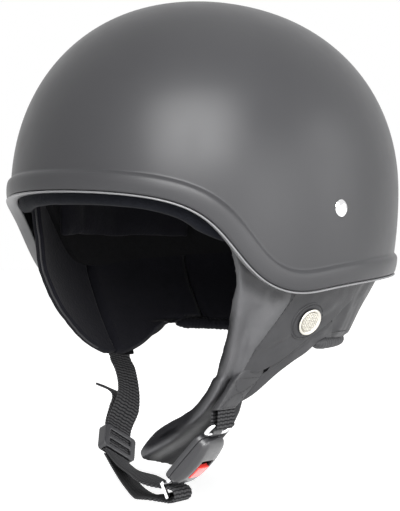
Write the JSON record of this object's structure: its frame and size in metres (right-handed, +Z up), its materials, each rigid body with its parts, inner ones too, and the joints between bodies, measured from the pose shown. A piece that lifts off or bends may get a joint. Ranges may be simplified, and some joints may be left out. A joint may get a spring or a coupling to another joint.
{
  "type": "half shell motorcycle helmet",
  "caption": "Half shell helmet with a banded rim, padded leather ear flaps and neck curtain, side vents, and a chin strap with a click buckle, chin pad and slider.",
  "frame": {"origin": "centre of the shell's widest level, where a head's middle sits", "axes": "+Z up to the crown, the face looks along -Y, the wearer's left ear is at +X"},
  "size_m": [0.222, 0.2599, 0.303],
  "materials": {
    "shell": "matte dark grey, smooth along the rim",
    "trim": "thin light grey lip",
    "foam": "black moulded foam",
    "padding": "dark grey lining cloth over soft foam",
    "leather": "soft dark grey leather, stitched",
    "lining": "quilted dark lining",
    "patch": "stitched black patch",
    "nickel": "bright nickel",
    "mesh": "fine wire mesh",
    "plate": "zinc plated steel",
    "webbing": "black ribbed webbing",
    "rivet": "polished chrome",
    "buckle": "glossy black plastic",
    "button": "glossy red plastic",
    "slider": "satin black plastic"
  },
  "bodies": {
    "helmet": {"outer_shell": "shell", "edge_trim": "trim", "impact_liner": "foam", "brow_pad": "padding", "left_side_pad": "padding", "right_side_pad": "padding", "nape_pad": "padding", "crown_pad": "padding", "left_front_strip": "leather", "right_front_strip": "leather", "left_ear_panel": "leather", "right_ear_panel": "leather", "left_flap_lining": "lining", "right_flap_lining": "lining", "left_vent_patch": "patch", "right_vent_patch": "patch", "left_vent_ring": "nickel", "right_vent_ring": "nickel", "left_vent_mesh": "mesh", "right_vent_mesh": "mesh", "left_strap_anchor": "plate", "right_strap_anchor": "plate", "left_anchor_webbing": "webbing", "right_anchor_webbing": "webbing", "neck_curtain": "leather", "curtain_lining": "lining", "curtain_hem": "leather", "strap_rivets": "rivet", "rivet_washers": "plate", "buckle_base": "buckle", "buckle_cover": "buckle", "pawl_pin": "plate", "latch_spring": "plate", "buckle_screws": "plate", "wire_ring": "rivet", "near_strap": "webbing", "strap_sleeve": "leather", "chin_pad": "leather", "far_strap": "webbing", "strap_tail": "webbing", "upper_strand": "webbing", "lower_strand": "webbing"},
    "latch": {"release_button": "button", "latch_pawl": "plate"},
    "tongue": {"buckle_tongue": "rivet", "tongue_loop": "webbing"},
    "slider": {"strap_slider": "slider"}
  },
  "joints": [
    {"name": "latch_press", "type": "hinge", "parent": "helmet", "child": "latch", "pos_m": [0.03745, -0.0424, -0.16462], "axis": [0.32, -0.9474, 0.0006], "range_deg": [0, 11.4], "stiffness_Nm_per_rad": 0.1, "deforming": ["latch_spring"]},
    {"name": "tongue_pull", "type": "slide", "parent": "helmet", "child": "tongue", "axis": [-0.6515, -0.2205, -0.7259], "range_m": [0, 0.025], "deforming": ["upper_strand", "lower_strand"]},
    {"name": "slider_adjust", "type": "slide", "parent": "helmet", "child": "slider", "axis": [0.4716, -0.4785, -0.7407], "range_m": [-0.006, 0]}
  ]
}
